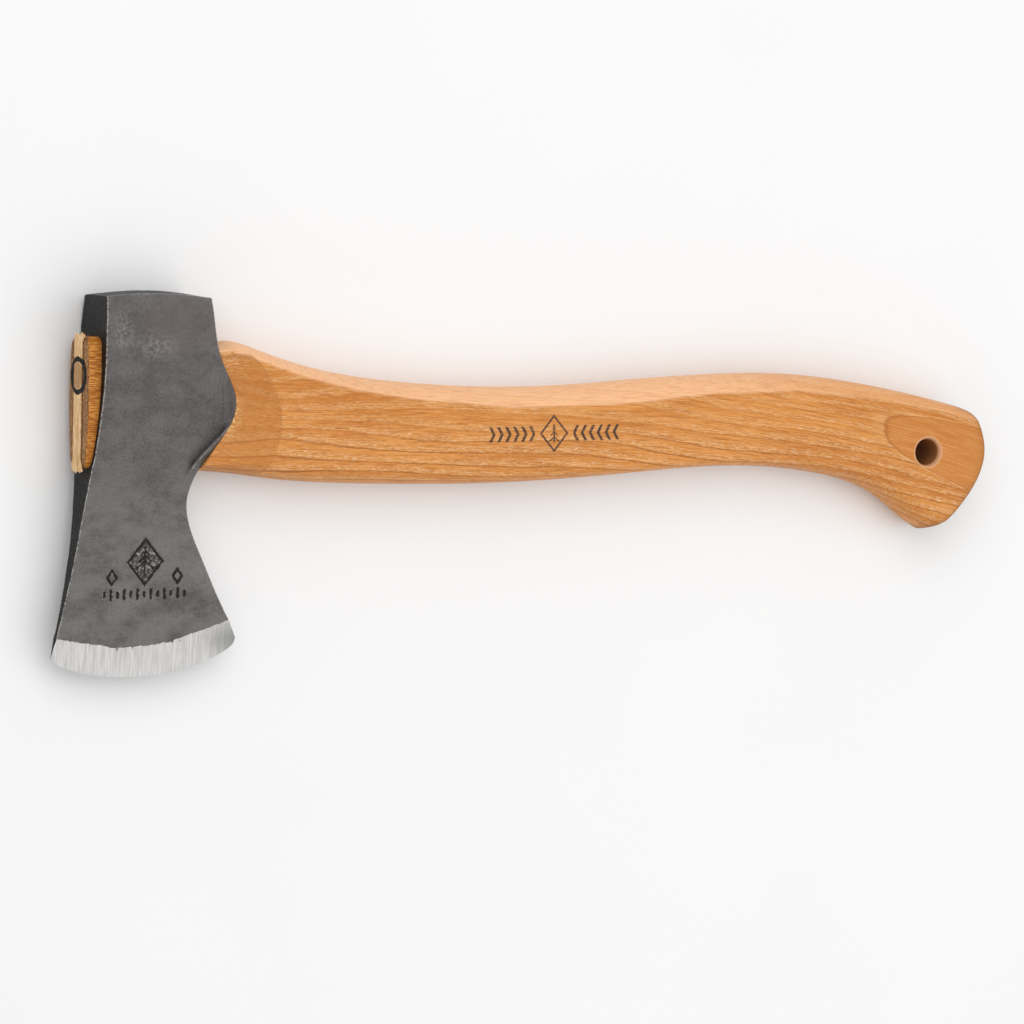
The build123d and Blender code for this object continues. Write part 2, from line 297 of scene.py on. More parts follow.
def build_head():
    """Closed mesh of the head: two cheeks with ground bevels, the end faces and the poll, less the eye."""
    front, back, edge = spline(FRONT_EDGE), spline(BACK_EDGE), spline(CUTTING_EDGE)
    near_ends = np.array([0.0, 0.0012, 0.003, 0.0055, 0.009, 0.014, 0.021, 0.029])
    s = np.concatenate([near_ends, np.linspace(0.037, 0.963, HEAD_COLUMNS - 16), 1 - near_ends[::-1]])
    t = np.concatenate([near_ends / 2, np.linspace(0.018, 0.63, 150), np.linspace(0.63, 0.86, 120)[1:],
                        np.linspace(0.86, 0.985, 50)[1:], [0.988, 0.991, 0.9935, 0.996, 0.998, 1.0]])
    y_front = POLL_LEFT[1] + t * (TOE[1] - POLL_LEFT[1])
    y_back = POLL_RIGHT[1] + t * (HEEL[1] - POLL_RIGHT[1])
    line_front = np.stack([by_height(front, y_front), y_front], 1)
    line_back = np.stack([by_height(back, y_back), y_back], 1)
    rise = 4 * s * (1 - s)
    top = np.stack([POLL_LEFT[i] + s * (POLL_RIGHT[i] - POLL_LEFT[i]) for i in (0, 1)], 1)
    top[:, 1] += POLL_RISE * rise
    bottom = along(edge, s)
    sides = (top[None], bottom[None], line_front[:, None], line_back[:, None])
    plan = patch(sides, (top[0], top[-1], bottom[0], bottom[-1]), s[None, :, None], t[:, None, None])

    x, y = plan[..., 0], plan[..., 1]
    cheek = spline(CHEEK)
    base = np.interp(-y, -cheek[:, 1], cheek[:, 0])
    d_edge = distance(plan, edge)
    d_front, d_back = distance(plan, front), distance(plan, back)
    d_poll = np.linalg.norm(plan - top[None], axis=-1)
    grind = spline(GRIND_LINE)
    d_grind = distance(plan, grind)
    above = y > np.interp(x, grind[:, 0], grind[:, 1])
    ratio = np.where(above, 1 + d_grind / GRIND_RANGE, d_edge / (d_edge + d_grind + 1e-6))
    ground = EDGE_HALF + base * ratio
    forged = smooth(ratio, 0.95, 1.3)

    # Forged form: lugs that roll away, and the flange hollowed along each lug's lower side.
    lug = np.exp(-(((y - LUG_Y) / LUG_SPREAD) ** 2))
    base = base - LUG_ROLL * lug * smooth(x, 42, 56)
    flange = smooth(y, -34, -26) * (1 - smooth(y, -11, -8)) * smooth(x, 34, 38)
    ridge = np.interp(y, (-30.0, -22.0, -8.5), (3.6, 3.0, 0.4))
    base = base - flange * FLANGE_SLOPE * np.maximum(ridge - d_back, 0)
    hollowed = smooth(d_back, ridge + 0.2, ridge + 1.6)
    fading = np.exp(-((np.maximum(d_back - ridge - 1.6, 0) / 3.0) ** 2))
    base = base - HOLLOW_DEPTH * flange * hollowed * fading
    scallop = SCALLOP_Y + SCALLOP_SWING * np.sin((x - 4) / SCALLOP_PITCH)
    base = base + SCALLOP_STEP * np.tanh((y - scallop) / 0.4) * smooth(x, 3, 9) * (1 - smooth(x, 30, 40))

    sides, grids = {}, []
    for side in (1, -1):
        body = raised(plan, side * 40.0)
        relief = 0.5 * rough(body, 17, 2, 3.1) + 0.3 * rough(body, 4.2, 3, 7.7)
        relief = relief + 0.2 * rough(body, 1.6, 2, 1.3)
        z = base + RELIEF * (relief - 0.9) * forged
        stamp = motif(plan, STAMP) if side > 0 else np.zeros_like(x)
        z = z - STAMP_DEPTH * stamp
        z = z - fillet_drop(d_front, 0.5 + 0.25 * rough(body, 5, 2, 4.0)) * forged
        z = z - fillet_drop(d_back, 0.6 + 0.6 * lug) * forged
        z = z - fillet_drop(d_poll, 0.9 + 0.3 * rough(body, 4, 2, 5.5))
        bevelled = np.clip((z - ground) / BEVEL_SLOPE, -9, 9)
        z = np.maximum(np.minimum(z, ground), EDGE_HALF)
        z[-1, :] = 0
        sides[side] = side * z
        # Masks: the front and poll rims worn bright, a painted highlight along the flange's ridge, and
        # painted shade in the hollow inside it.
        rim_and_highlight = np.maximum(np.exp(-d_front / 0.5), 0.8 * np.exp(-d_poll / 0.5))
        rim_and_highlight = np.maximum(rim_and_highlight, 0.75 * flange * np.exp(-((d_back - ridge + 0.2) / 0.45) ** 2))
        hollow_shade = flange * smooth(d_back, ridge + 0.1, ridge + 0.9)
        hollow_shade = hollow_shade * np.exp(-(np.maximum(d_back - ridge - 1.2, 0) / 2.2))
        masks = {"ground": bevelled, "rim_and_highlight": rim_and_highlight, "stamp": stamp, "hollow_shade": hollow_shade}
        grids.append((raised(plan, sides[side]), masks))

    # End faces: a scale mask of forge scale with painted shade, and on the front a rim worn bright.
    for column, scale in ((0, FRONT_SCALE_AND_SHADE), (-1, BACK_SCALE_AND_SHADE)):
        points, k = bridge(plan[:, column], sides[-1][:, column], sides[1][:, column], HEAD_ACROSS)
        inner = (4 * k * (1 - k)) ** 0.5
        shake = 0.07 * rough(points, 7, 2, 5.0) + 0.05 * rough(points, 2.0, 2, 2.0)
        y = points[..., 1]
        points[..., 0] += inner * shake * smooth(y, -90, -75) * smooth(-y, -37.4, -36.0)
        rim_and_highlight = np.exp(-6 * inner) if column == 0 else 0.0
        grids.append((points, {"ground": -9.0, "rim_and_highlight": rim_and_highlight, "scale": scale}))
    points, k = bridge(plan[0], sides[-1][0], sides[1][0], HEAD_ACROSS)
    points[..., 1] += POLL_CROWN * (1 - (2 * k - 1) ** 2) * rise[:, None]
    dents = rough(points, 5, 3, 6.0) - 0.6
    points[..., 1] += 0.06 * dents * 4 * k * (1 - k) * smooth(rise, 0, 0.1)[:, None]
    grids.append((points, {"ground": -9.0, "scale": POLL_SCALE_AND_SHADE}))

    return boolean(piece("head_forged", grids, HEAD_MASKS), eye_cutter())


# ---- eye and tongue ----

EYE_TOP, EYE_BOTTOM = 24.3, -24.5
EYE_HALVES = ((7.3, EYE_TOP), (9.0, 4.0), (6.5, EYE_BOTTOM))
EYE_CORNER = 3.6
EYE_INSET_BELOW = 0.6
TUBE_ACROSS = 33

# The tongue's sawn end; and the eye, which drops and widens from its start to its mouth by the grip.
END_X, END_LEAN = -4.7, math.tan(math.radians(1.3))
START_X, MOUTH_X = 2 * END_X, 58.0
MOUTH_SHIFT, MOUTH_GAIN = -3.3, 0.5


def leaned(x, y):
    """x with the lean of the tongue's sawn end, which dies away inside the eye."""
    return x + END_LEAN * y * (1 - smooth(x, -4, 6))


def eye_half(y):
    """Half width of the eye at heights y of its upper end: bulged sides and rounded corners."""
    fit = np.polyfit([h[1] for h in EYE_HALVES], [h[0] for h in EYE_HALVES], 2)
    inside = np.minimum(EYE_TOP - y, y - EYE_BOTTOM)
    return np.polyval(fit, y) - fillet_drop(inside, EYE_CORNER)


def eye_rows(count):
    """Heights that follow the eye's rounded ends closely."""
    turn = EYE_CORNER * (1 - np.cos(np.linspace(0, math.pi / 2, 9)))
    middle = np.linspace(EYE_TOP - EYE_CORNER, EYE_BOTTOM + EYE_CORNER, count)[1:-1]
    return np.concatenate([EYE_TOP - turn, middle, EYE_BOTTOM + turn[::-1]])


def eye_at(x, y):
    """(height, half width) of the eye's wall at x."""
    part = (x - START_X) / (MOUTH_X - START_X)
    return y + part * MOUTH_SHIFT, eye_half(y) + part * MOUTH_GAIN


def end_wear(y):
    """How far the corners of the sawn end are worn back at height y."""
    return fillet_drop(EYE_TOP - y, 3.2) * 0.8 + fillet_drop(y - EYE_BOTTOM, 0.8)


def tube(name, xs, insets, sawn=False):
    """Closed solid that follows the eye, with a ring at each x, drawn in by its inset.

    A sawn one has the tongue's worn and grainy end.
    """
    y, across = eye_rows(90 if sawn else 60), np.linspace(-1, 1, TUBE_ACROSS)
    rings = []
    for x, inset in zip(xs, insets):
        height, half = eye_at(x, y)
        low = height.min() + min(inset, EYE_INSET_BELOW)
        height = low + (height - height.min()) * (height.max() - inset - low) / (height.max() - height.min())
        at = np.full_like(height, x)
        if sawn:
            at = leaned(at, height) + end_wear(height) * (1 - smooth(at, -3.6, 4))
        rings.append((at, height, np.maximum(half - inset, 0.3)))
    grids = [(np.stack([np.stack([at, h, sign * w], -1) for at, h, w in rings]), {}) for sign in (1, -1)]
    flat = 0 * across
    for row in (0, -1):
        strip = [np.stack([at[row] + flat, h[row] + flat, across * w[row]], -1) for at, h, w in rings]
        grids.append((np.stack(strip), {}))
    for index in (0, -1):
        at, h, w = rings[index]
        cap = np.stack([at[:, None] + flat, h[:, None] + flat, w[:, None] * across], -1)
        if sawn and index == 0:
            calm = (1 - across**4) * smooth(np.minimum(EYE_TOP - y, y - EYE_BOTTOM), 0.3, 2.0)[:, None]
            texture = 0.10 * rough(cap * [1, 0.3, 1], 1.0, 3, 8.0) + 0.06 * rough(cap, 4, 2, 3.0)
            cap[..., 0] += calm * texture
        grids.append((cap, {}))
    return piece(name, grids)


def eye_cutter():
    return tube("eye_cutter", [-9.0, 20.0, 41.0, 46.0, 62.0], [0.0, 0.0, 0.0, 0.9, 1.8])


def build_tongue():
    """The tongue in the eye: sawn end, eased edges and a rounded corner towards the poll."""
    eased = [END_X, END_X + 0.08, END_X + 0.25, END_X + 0.5]
    xs = eased + [-3.6, -2.6, -1.2, 0.2, 2.0, 8.0, 20.0, 41.0, 46.0, 53.5]
    return tube("tongue", xs, [0.6, 0.34, 0.14, 0.04] + [0.0] * 8 + [0.9, 1.35], sawn=True)


WEDGE_HALF, WEDGE_TIP_HALF, WEDGE_DEPTH = 3.2, 0.7, 35.0
WEDGE_SHORT = 0.25
RING_CUT, RING_PROUD = 2.0, 0.3
RING_Y, RING_OUTER, RING_INNER, RING_INNER_TIP, RING_DEPTH = 9.4, 7.15, 5.0, 6.65, 13.0


def wedge_body(name, cutter=False):
    """The wooden wedge, its driven end crushed and ragged; or the plain cutter for its slot."""
    rows, cols = (6, 3) if cutter else (150, 21)
    v, w = np.linspace(1, 0, rows)[:, None], np.linspace(-1, 1, cols)[None, :]
    # Each layer is (x, how far the crushed end spreads, how far it runs over the eye's ends).
    if cutter:
        steps = [(END_X + WEDGE_DEPTH, 0, 2.5), (END_X, 0, 2.5), (END_X - 3, 0, 2.5)]
    else:
        steps = [(END_X + WEDGE_DEPTH, 0, 0), (10.0, 0, 0), (-2.0, 0, 0), (END_X + 0.02, 0, 0),
                 (END_X - 0.04, 0.5, 0.3), (END_X - 0.2, 1, 1), (END_X - 0.42, 0.95, 0.9),
                 (END_X - 0.52, 0.6, 0.7)]
    layers = []
    for at, crushed, over in steps:
        shift = eye_at(max(at, END_X), 0.0)[0]
        high, low = EYE_TOP - WEDGE_SHORT + shift, EYE_BOTTOM + WEDGE_SHORT + shift
        half = np.interp(at, (END_X, END_X + WEDGE_DEPTH), (WEDGE_HALF, WEDGE_TIP_HALF))
        y = low + (high - low) * v + 0 * w
        if not cutter:
            torn = np.stack([0 * y, 0 * y, w * half + 0 * y], -1)
            upper = (0.9 + 0.9 * rough(torn, 1.2, 3, 1.0)) * smooth(v, 0.93, 1.0)
            lower = (1.6 + 1.0 * rough(torn, 1.1, 3, 6.0)) * smooth(-v, -0.07, 0.0)
            y = y + over * (upper - lower)
            side = np.stack([0 * y, y, np.sign(w) * 5 + 0 * y], -1)
            spread = smooth(v, 0.955, 0.985) * np.where(w > 0, 2.6, 0.6) + smooth(-v, -0.07, -0.02) * 1.5
            frayed = 0.16 + 0.16 * rough(side, 1.5, 3, 2.0)
            half = half + crushed * (frayed + spread * (1 + 0.4 * rough(side, 0.9, 2, 4.0)))
        else:
            y = y + over * (2 * v - 1)
        x = leaned(np.full_like(y, at), y)
        layers.append(np.stack([x, y, w * half + 0 * y], -1))
    cap = layers[-1].copy()
    if not cutter:
        calm = (1 - w**6) * smooth(v * (1 - v), 0.0, 0.012)
        cap[..., 0] += calm * (0.16 * rough(cap * [1, 0.12, 1], 0.7, 3, 3.0) + 0.08 * rough(cap, 2.5, 2, 9.0))
        layers[-1] = cap
    solid = np.stack(layers)
    faces = (solid[:, :, 0], solid[:, :, -1], solid[:, 0], solid[:, -1], solid[0], cap)
    return piece(name, [(face, {}) for face in faces])


def ring_body(name, proud):
    """The round steel wedge, an open tube with a thin tip, standing this far out of the sawn end."""
    front, tip = END_X - proud, END_X + RING_DEPTH
    eased = [(0, 0.3), (0.06, 0.1), (0.15, 0)]
    profile = [(RING_INNER_TIP, tip), (RING_OUTER, tip)]
    profile += [(RING_OUTER - inset, front + back) for inset, back in eased]
    profile += [(RING_INNER + inset, front + back) for inset, back in eased[::-1]]
    profile += [(RING_INNER_TIP, tip)]
    angle = np.linspace(0, 2 * math.pi, 97)
    rings = []
    for r, at in profile:
        y = RING_Y + r * np.cos(angle)
        rings.append(np.stack([leaned(np.full_like(y, at), y), y, r * np.sin(angle)], -1))
    return piece(name, [(np.stack(rings), {})])


# ---- handle ----

# Outline: along the back and the belly, and round the knob from one to the other.
KNOB_TOP, KNOB_TIP = (365.2, -9.3), (350.5, -57.0)
TOP_LINE = [(46.4, 19.8), (50.6, 20.5), (54.6, 21.2), (57.2, 20.9), (63.0, 19.2), (72.0, 15.9), (96.0, 9.1),
            (128.0, 4.4), (160.0, 2.1), (192.0, 1.9), (224.0, 3.5), (258.0, 4.9), (290.0, 4.5), (319.0, 0.9),
            (345.0, -4.3), KNOB_TOP]
BOTTOM_LINE = [(40.3, -26.6), (56.2, -28.2), (72.0, -30.5), (96.0, -32.6), (128.0, -33.9), (160.0, -34.4),
               (192.0, -33.7), (224.0, -32.0), (255.0, -30.4), (282.0, -31.1), (304.0, -34.0), (316.0, -36.7),
               (326.0, -40.4), (335.0, -45.7), (343.0, -52.0), KNOB_TIP]
KNOB_LINE = [KNOB_TOP, (370.0, -12.4), (373.2, -18.4), (374.55, -27.5), (372.2, -36.0), (363.7, -48.1),
             (356.3, -54.6), KNOB_TIP]

# Half thickness along the grip, and the line where its flat sides turn into the narrow band along the back.
HALF_X = (28.0, 56.0, 72.0, 96.0, 128.0, 160.0, 192.0, 224.0, 256.0, 286.0, 311.0, 335.0, 353.0, 375.0)
HALF_Z = (12.9, 12.9, 12.8, 12.2, 11.4, 10.8, 10.4, 10.4, 10.6, 10.9, 11.2, 11.5, 11.6, 11.6)
CREST_X = (50.0, 64.8, 80.5, 101.0, 121.7, 163.6, 206.0, 249.0, 283.8, 320.0, 345.0, 375.0)
CREST_Y = (19.0, 13.5, 8.0, 2.7, -1.1, -5.3, -5.3, -2.2, -2.1, -6.3, -11.4, -19.0)
CREST_TURN = math.radians(56)
BELLY_CAP = 7.2
FLAT_CROWN = 0.35
KNOB_ROUND = 1.5

# The shoulder is dished round a centre: its half thickness at the inner and the outer radius.
DISH_CENTRE = (40.3, -8.8)
DISH_INNER, DISH_OUTER = 14.0, 31.5
DISH_INNER_HALF, DISH_OUTER_HALF = 9.8, 12.75
GRIP_ACROSS = 21


def lip_line(count=600):
    """The line where the grip meets the head: the head's back edge between the grip's two outlines."""
    back = spline(BACK_EDGE, 2 * count)
    between = (back[:, 1] < TOP_LINE[0][1]) & (back[:, 1] > BOTTOM_LINE[0][1])
    return evened(np.concatenate([[TOP_LINE[0]], back[between], [BOTTOM_LINE[0]]]), count)


def build_grip():
    """Closed mesh of the grip, from the head's outline to the knob."""
    top, bottom, left, right = spline(TOP_LINE), spline(BOTTOM_LINE), lip_line(), spline(KNOB_LINE)

    # s runs along the grip, closer together by the head and the knob.
    s = np.concatenate([np.linspace(0, 0.12, 100)[:-1], np.linspace(0.12, 0.93, 260)[:-1],
                        np.linspace(0.93, 0.992, 50)[:-1],
                        [0.992, 0.9945, 0.9962, 0.9975, 0.9985, 0.9993, 1.0]])
    # q runs across it: the band along the back, the flat side, and the rounded belly.
    length = np.linalg.norm(along(top, s) - along(bottom, s), axis=-1)
    crest = np.clip(along(top, s)[:, 1] - np.interp(along(top, s)[:, 0], CREST_X, CREST_Y), 2.0, 9.0)
    turn = np.linspace(0, CREST_TURN, 17)
    crest_part = (1 - np.cos(turn)) / (1 - math.cos(CREST_TURN))
    crest_rise = np.sin(turn) / math.sin(CREST_TURN)
    belly_turn = np.linspace(0, math.pi / 2, 15)
    belly_part, belly_rise = 1 - np.cos(belly_turn), np.sin(belly_turn)
    flat = np.linspace(0, 1, 46)[1:-1]
    q_top = (crest / length)[:, None] * crest_part[None]
    q_bottom = 1 - (BELLY_CAP / length)[:, None] * belly_part[None, ::-1]
    q_flat = q_top[:, -1:] + (q_bottom[:, :1] - q_top[:, -1:]) * flat[None]
    q = np.concatenate([q_top, q_flat, q_bottom], 1)
    rise = np.concatenate([crest_rise, np.ones(len(flat)), belly_rise[::-1]])[None]
    s_grid = np.broadcast_to(s[:, None], q.shape)
    sides = (along(top, s_grid), along(bottom, s_grid), along(left, q), along(right, q))
    plan = patch(sides, (top[0], top[-1], bottom[0], bottom[-1]), s_grid[..., None], q[..., None])
    x, y = plan[..., 0], plan[..., 1]

    half = np.interp(x, HALF_X, HALF_Z)
    d_end, d_lip = distance(plan, right), distance(plan, left)
    radius = np.hypot(x - DISH_CENTRE[0], y - DISH_CENTRE[1])
    widening = (DISH_OUTER_HALF - DISH_INNER_HALF) / (DISH_OUTER - DISH_INNER)
    dish = DISH_INNER_HALF + (radius - DISH_INNER) * widening
    band = np.concatenate([np.ones(len(crest_part)), 1 - smooth(flat, 0, 0.045), np.zeros(len(belly_part))])
    dished = smooth(-radius, -DISH_OUTER - 0.6, -DISH_OUTER + 0.6) * smooth(-y, -17, -14.5)
    # The knob mask is its end face, plus painted shade along the rounded edge beside it.
    masks = {"crest": band[None], "dish": dished, "knob_end_and_edge_shade": np.exp(-d_end / 1.3), "lip": np.exp(-d_lip / 1.7)}
    sides, grids = {}, []
    for side in (1, -1):
        body = raised(plan, side * 30.0)
        down_flat = np.clip((q - q_top[:, -1:]) / (q_bottom[:, :1] - q_top[:, -1:]), 0, 1)
        z = (half - FLAT_CROWN + FLAT_CROWN * np.sin(math.pi * down_flat)) * rise
        waves = 0.10 * rough(body * [0.4, 1, 1], 11, 2, 2.2) + 0.02 * rough(body * [0.15, 1, 1], 1.4, 2, 4.4)
        z = z + rise * waves
        z = np.minimum(z, dish - 0.12 + 0.05 * rough(body, 2.2, 2, 6.1))
        z = z - fillet_drop(d_end, KNOB_ROUND) * np.minimum(rise * 2, 1)
        z = np.maximum(z, 0)
        z[:, 0] = z[:, -1] = 0
        sides[side] = side * z
        grids.append((raised(plan, sides[side]), masks))
    for row, knob_end_and_edge_shade in ((0, 0.0), (-1, 1.0)):
        points, _ = bridge(plan[row], sides[-1][row], sides[1][row], GRIP_ACROSS)
        grids.append((points, {"knob_end_and_edge_shade": knob_end_and_edge_shade}))
    return piece("handle_hickory", grids, WOOD_MASKS)


HOLE_RADIUS, HOLE_MOUTH, HOLE_REACH = 5.0, 11.55, 20.0
FLARE_WIDE, FLARE_DEEP = 1.4, 2.8


def hole_cutter():
    """Flared pin that cuts the hang hole with its rounded rims."""
    turns = [(1 - math.cos(a), 1 - math.sin(a)) for a in np.linspace(0, math.pi / 2, 9)]
    flare = [(HOLE_RADIUS + FLARE_WIDE * out, HOLE_MOUTH - FLARE_DEEP * down) for out, down in turns]
    profile = [(HOLE_RADIUS + 4, HOLE_REACH), (HOLE_RADIUS + FLARE_WIDE + 0.5, HOLE_MOUTH + 0.3)]
    profile = profile + flare[::-1] + [(HOLE_RADIUS, 4.0)]
    profile = profile + [(r, -z) for r, z in profile[::-1]]
    angle = np.linspace(0, 2 * math.pi, 73)
    rings = [[(HOLE[0] + r * math.cos(a), HOLE[1] + r * math.sin(a), z) for a in angle] for r, z in profile]
    caps = [[(HOLE[0], HOLE[1], z)] * len(angle) for z in (HOLE_REACH, -HOLE_REACH)]
    return piece("hole_cutter", [(np.array([caps[0]] + rings + [caps[1]]), {})])


def mark_tongue(mesh):
    """Fills the masks of the tongue and of its sawn end, by where the points of the finished handle lie."""
    co = np.empty(3 * len(mesh.vertices), np.float32)
    mesh.vertices.foreach_get("co", co)
    x, y, _ = co.reshape(-1, 3).T / MM
    sawn = END_X + END_LEAN * y + end_wear(y)
    mesh.attributes["tongue"].data.foreach_set("value", smooth(-x, -34, -30).astype(np.float32))
    mesh.attributes["end"].data.foreach_set("value", smooth(sawn - x, -0.45, -0.25).astype(np.float32))


def build_handle():
    """Grip and tongue in one piece, with the wedge's slot, the ring's groove and the hang hole."""
    grip = boolean(build_grip(), hole_cutter())
    tongue = boolean(build_tongue(), wedge_body("wedge_cutter", cutter=True))
    tongue = boolean(tongue, ring_body("ring_cutter", RING_CUT))
    handle = boolean(grip, tongue, "UNION")
    mark_tongue(handle.data)
    return handle


def build_wedge():
    """The wooden wedge, grooved for the ring."""
    return boolean(wedge_body("wedge_hardwood"), ring_body("ring_cutter", RING_CUT))


def build_ring():
    return ring_body("ring_wedge_steel", RING_PROUD)


# ---- materials ----


class Nodes:
    """Short way to write a material's node tree."""

    def __init__(self, name):
        self.material = bpy.data.materials.new(name)
        self.material.use_nodes = True
        self.tree = self.material.node_tree
        self.shader = self.tree.nodes["Principled BSDF"]
        source = self.add("ShaderNodeTexCoord").outputs["Object"]
        corner = self.vector("SUBTRACT", source, tuple(LAID.to_translation()))
        self.design = self.vector("MULTIPLY", corner, (1 / MM,) * 3)

    def add(self, kind, inputs=None, **settings):
        node = self.tree.nodes.new(kind)
        for key, value in settings.items():
            setattr(node, key, value)
        for key, value in (inputs or {}).items():
            self.put(node, key, value)
        return node

    def put(self, node, key, value):
        socket = node.inputs[key]
        if isinstance(value, bpy.types.NodeSocket):
            self.tree.links.new(value, socket)
        else:
            socket.default_value = value

    def math(self, operation, a, b=0.5):
        return self.add("ShaderNodeMath", {0: a, 1: b}, operation=operation).outputs[0]

    def times(self, *factors):
        result = factors[0]
        for factor in factors[1:]:
            result = self.math("MULTIPLY", result, factor)
        return result

    def plus(self, *terms):
        result = terms[0]
        for term in terms[1:]:
            result = self.math("ADD", result, term)
        return result

    def minus(self, a, b):
        return self.math("SUBTRACT", a, b)

    def rest(self, value):
        """What the value lacks of 1."""
        return self.math("SUBTRACT", 1.0, value)

    def absolute(self, value):
        return self.math("ABSOLUTE", value)

    def larger(self, a, b):
        return self.math("MAXIMUM", a, b)

    def radius(self, a, b):
        """Length of the vector that has these two coordinates."""
        return self.math("SQRT", self.plus(self.times(a, a), self.times(b, b)))

    def vector(self, operation, a, b):
        return self.add("ShaderNodeVectorMath", {0: a, 1: b}, operation=operation).outputs[0]

    def span(self, value, low, high, to_low=0.0, to_high=1.0):
        """A number eased from to_low to to_high as the value runs from low to high, or down to it."""
        inputs = {"Value": value, "From Min": low, "From Max": high, "To Min": to_low, "To Max": to_high}
        return self.add("ShaderNodeMapRange", inputs, interpolation_type="SMOOTHSTEP").outputs[0]

    def mix(self, factor, a, b):
        """Colour a where the factor is 0 and b where it is 1."""
        node = self.add("ShaderNodeMix", data_type="RGBA")
        for index, value in ((0, factor), (6, a), (7, b)):
            self.put(node, index, value if not isinstance(value, tuple) else value + (1,))
        return node.outputs[2]

    def blend(self, factor, a, b):
        """Number a where the factor is 0 and b where it is 1."""
        return self.add("ShaderNodeMix", {0: factor, 2: a, 3: b}).outputs[0]

    def place(self, scale, of=None):
        """Design coordinates in millimetres, or the given ones, times the scale."""
        return self.vector("MULTIPLY", of or self.design, scale)

    def noise(self, vector, scale, detail, roughness):
        inputs = {"Vector": vector, "Scale": scale, "Detail": detail, "Roughness": roughness}
        return self.add("ShaderNodeTexNoise", inputs).outputs[0]

    def attribute(self, name):
        return self.add("ShaderNodeAttribute", attribute_name=name).outputs["Fac"]

    def axes(self, vector=None):
        return self.add("ShaderNodeSeparateXYZ", {0: vector or self.design}).outputs[:3]

    def near(self, centre, size):
        """1 at a point of the design frame, falling to 0 at an ellipse of this size."""
        offset = self.vector("SUBTRACT", self.design, centre)
        offset = self.vector("MULTIPLY", offset, tuple(1 / v for v in size))
        length = self.add("ShaderNodeVectorMath", {0: offset}, operation="LENGTH").outputs["Value"]
        return self.span(length, 1.0, 0.0)

    def bump(self, height, strength, distance, under=None):
        inputs = {"Height": height, "Strength": strength, "Distance": distance * MM}
        if under is not None:
            inputs["Normal"] = under
        return self.add("ShaderNodeBump", inputs).outputs[0]

    def finish(self, colour, roughness, metallic=0.0, normal=None, **fixed):
        """The material, its shader filled in; fixed numbers go straight on the sockets they name."""
        self.put(self.shader, "Base Color", colour)
        self.put(self.shader, "Roughness", roughness)
        self.put(self.shader, "Metallic", metallic)
        if normal is not None:
            self.put(self.shader, "Normal", normal)
        for key, value in fixed.items():
            self.shader.inputs[key.replace("_", " ")].default_value = value
        return self.material


STEEL_DARK, STEEL_LIGHT = (0.148, 0.136, 0.132), (0.216, 0.201, 0.195)
SHEEN_AND_RUBBED_STEEL, WORN_AND_HIGHLIGHT_STEEL = (0.36, 0.34, 0.33), (0.52, 0.51, 0.49)
POLISH_DARK, POLISH_LIGHT = (0.46, 0.45, 0.44), (0.64, 0.63, 0.62)


